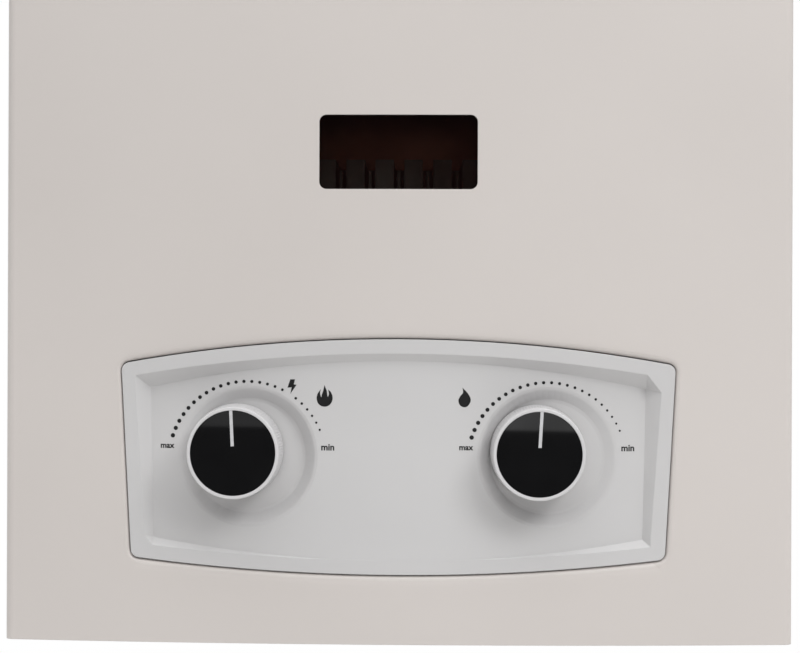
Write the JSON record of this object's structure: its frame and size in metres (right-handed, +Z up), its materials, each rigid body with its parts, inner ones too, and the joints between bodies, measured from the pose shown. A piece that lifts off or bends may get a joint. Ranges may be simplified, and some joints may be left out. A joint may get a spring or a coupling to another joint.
{
  "type": "tankless gas water heater",
  "caption": "Wall-hung tankless gas water heater: bowed sheet cover, sight window, moulded bezel with gas and water knobs, open-flue collar.",
  "frame": {"origin": "on the wall plane, midway across the casing, level with the casing's bottom edge", "axes": "+Z up, the front faces -Y, +X is to the right seen from the front"},
  "size_m": [0.3352, 0.18, 0.612],
  "materials": {
    "painted_sheet": "satin powder coat",
    "galvanised_sheet": "galvanised sheet",
    "steel_screw": "zinc plated",
    "sight_pane": "heat resistant dark glass",
    "white_plastic": "satin moulded ABS",
    "black_disc": "gloss black",
    "pointer_white": "printed white",
    "die_cast": "die cast",
    "brass_part": "machined",
    "copper_part": "drawn copper",
    "burner_steel": "heat tinted stainless steel",
    "black_plastic": "moulded",
    "ceramic_white": "glazed ceramic",
    "cell_jacket": "plain metallic sleeve"
  },
  "bodies": {
    "casing": {"back_plate": "galvanised_sheet", "front_cover": "painted_sheet", "cover_screws": "steel_screw", "sight_glass": "sight_pane", "sight_glass_frame": "galvanised_sheet", "control_bezel": "white_plastic", "gas_valve_body": "die_cast", "gas_valve_cap": "die_cast", "water_valve_body": "brass_part", "diaphragm_cover": "brass_part", "valve_screws": "steel_screw", "microswitch": "black_plastic", "solenoid_valve": "black_plastic", "gas_manifold": "galvanised_sheet", "injectors": "brass_part", "burner_bars": "burner_steel", "burner_frame": "burner_steel", "ignition_electrode": "ceramic_white", "flame_electrode": "ceramic_white", "combustion_chamber": "copper_part", "exchanger_fins": "copper_part", "exchanger_tubes": "copper_part", "return_bends": "copper_part", "chamber_coil": "copper_part", "feed_pipe": "copper_part", "hot_pipe": "copper_part", "draught_hood": "galvanised_sheet", "flue_collar": "galvanised_sheet", "overheat_thermostat": "black_plastic", "flue_sensor": "black_plastic", "gas_inlet": "galvanised_sheet", "cold_inlet": "copper_part", "union_nuts": "brass_part", "drain_plug": "brass_part", "ignition_module": "black_plastic", "battery_box": "black_plastic", "battery_cells": "cell_jacket"},
    "gas_control": {"gas_knob": "white_plastic", "gas_knob_disc": "black_disc", "gas_knob_pointer": "pointer_white", "gas_spindle": "brass_part"},
    "water_control": {"water_knob": "white_plastic", "water_knob_disc": "black_disc", "water_knob_pointer": "pointer_white", "water_spindle": "brass_part"},
    "valve_rod": {"push_rod": "steel_screw", "switch_finger": "galvanised_sheet"},
    "switch_plunger": {"switch_button": "white_plastic"},
    "battery_door": {"battery_lid": "black_plastic"}
  },
  "joints": [
    {"name": "gas_knob_turn", "type": "hinge", "parent": "casing", "child": "gas_control", "pos_m": [-0.0676, -0.158, 0.0808], "axis": [0, -1, 0], "range_deg": [-70, 69]},
    {"name": "water_knob_turn", "type": "hinge", "parent": "casing", "child": "water_control", "pos_m": [0.0584, -0.158, 0.0808], "axis": [0, -1, 0], "range_deg": [-63, 75]},
    {"name": "rod_slide", "type": "slide", "parent": "casing", "child": "valve_rod", "axis": [-1, 0, 0], "range_m": [0, 0.004], "stiffness_N_per_m": 200, "springref_m": -0.005},
    {"name": "plunger_slide", "type": "slide", "parent": "casing", "child": "switch_plunger", "axis": [-1, 0, 0], "range_m": [0, 0.004]},
    {"name": "battery_door_hinge", "type": "hinge", "parent": "casing", "child": "battery_door", "pos_m": [0, -0.109, 0.0035], "axis": [1, 0, 0], "range_deg": [0, 100]}
  ],
  "couplings": [
    {"joint": "plunger_slide", "follows": "rod_slide", "ratio": 1}
  ]
}
